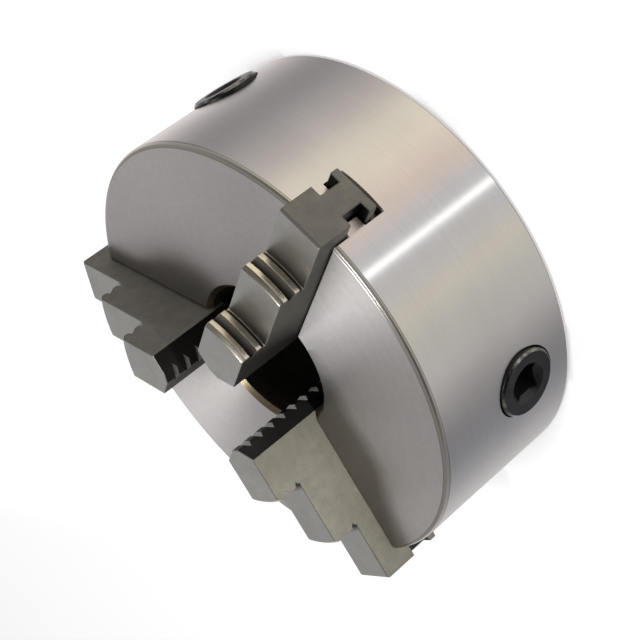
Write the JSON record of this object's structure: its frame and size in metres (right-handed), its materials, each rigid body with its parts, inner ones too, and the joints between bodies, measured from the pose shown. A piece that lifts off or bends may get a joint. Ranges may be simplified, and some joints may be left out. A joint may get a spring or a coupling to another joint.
{
  "type": "lathe chuck",
  "caption": "Self-centring lathe chuck with stepped jaws sliding in radial T-slots, moved by a spiral scroll and bevel pinions inside a ground steel body with a through bore.",
  "frame": {"origin": "centre of the rear mounting face, on the chuck's axis", "axes": "+Z along the chuck's axis from the rear mounting face towards the jaws; -Y along jaw 1; +X completes the right-handed frame"},
  "size_m": [0.2, 0.2088, 0.109],
  "materials": {
    "ground_steel": "ground and turned bare steel, light warm grey",
    "jaw_steel": "hardened and ground steel, darker grey, gripping faces polished",
    "scroll_steel": "hardened steel, machined",
    "cover_steel": "turned steel",
    "black_oxide": "black oxide"
  },
  "bodies": {
    "chuck": {"chuck_body": "ground_steel", "rear_cover": "cover_steel", "pinion_screw_1": "black_oxide", "pinion_screw_2": "black_oxide", "pinion_screw_3": "black_oxide", "cover_screw_1": "black_oxide", "cover_screw_2": "black_oxide", "cover_screw_3": "black_oxide", "cover_screw_4": "black_oxide", "cover_screw_5": "black_oxide", "cover_screw_6": "black_oxide"},
    "scroll": {"scroll_plate": "scroll_steel"},
    "jaw_1": {"jaw_1": "jaw_steel"},
    "jaw_2": {"jaw_2": "jaw_steel"},
    "jaw_3": {"jaw_3": "jaw_steel"},
    "pinion_1": {"pinion_1": "black_oxide"},
    "pinion_2": {"pinion_2": "black_oxide"},
    "pinion_3": {"pinion_3": "black_oxide"}
  },
  "joints": [
    {"name": "scroll_spin", "type": "hinge", "parent": "chuck", "child": "scroll", "pos_m": [0, 0, 0.0475], "axis": [0, 0, 1], "range_deg": [-662, 795]},
    {"name": "jaw_1_slide", "type": "slide", "parent": "chuck", "child": "jaw_1", "axis": [0, -1, 0], "range_m": [-0.0221, 0.0184]},
    {"name": "jaw_2_slide", "type": "slide", "parent": "chuck", "child": "jaw_2", "axis": [0.866, 0.5, 0], "range_m": [-0.0221, 0.0184]},
    {"name": "jaw_3_slide", "type": "slide", "parent": "chuck", "child": "jaw_3", "axis": [-0.866, 0.5, 0], "range_m": [-0.0221, 0.0184]},
    {"name": "pinion_1_spin", "type": "hinge", "parent": "chuck", "child": "pinion_1", "pos_m": [-0.07838, -0.04525, 0.027], "axis": [-0.866, -0.5, 0], "range_deg": [-4775, 3977]},
    {"name": "pinion_2_spin", "type": "hinge", "parent": "chuck", "child": "pinion_2", "pos_m": [0.07838, -0.04525, 0.027], "axis": [0.866, -0.5, 0], "range_deg": [-4775, 3977]},
    {"name": "pinion_3_spin", "type": "hinge", "parent": "chuck", "child": "pinion_3", "pos_m": [0, 0.0905, 0.027], "axis": [0, 1, 0], "range_deg": [-4775, 3977]}
  ],
  "couplings": [
    {"joint": "jaw_1_slide", "follows": "scroll_spin", "m_per_rad": -0.0015915},
    {"joint": "jaw_2_slide", "follows": "scroll_spin", "m_per_rad": -0.0015915},
    {"joint": "jaw_3_slide", "follows": "scroll_spin", "m_per_rad": -0.0015915},
    {"joint": "pinion_1_spin", "follows": "scroll_spin", "ratio": -6},
    {"joint": "pinion_2_spin", "follows": "scroll_spin", "ratio": -6},
    {"joint": "pinion_3_spin", "follows": "scroll_spin", "ratio": -6}
  ]
}
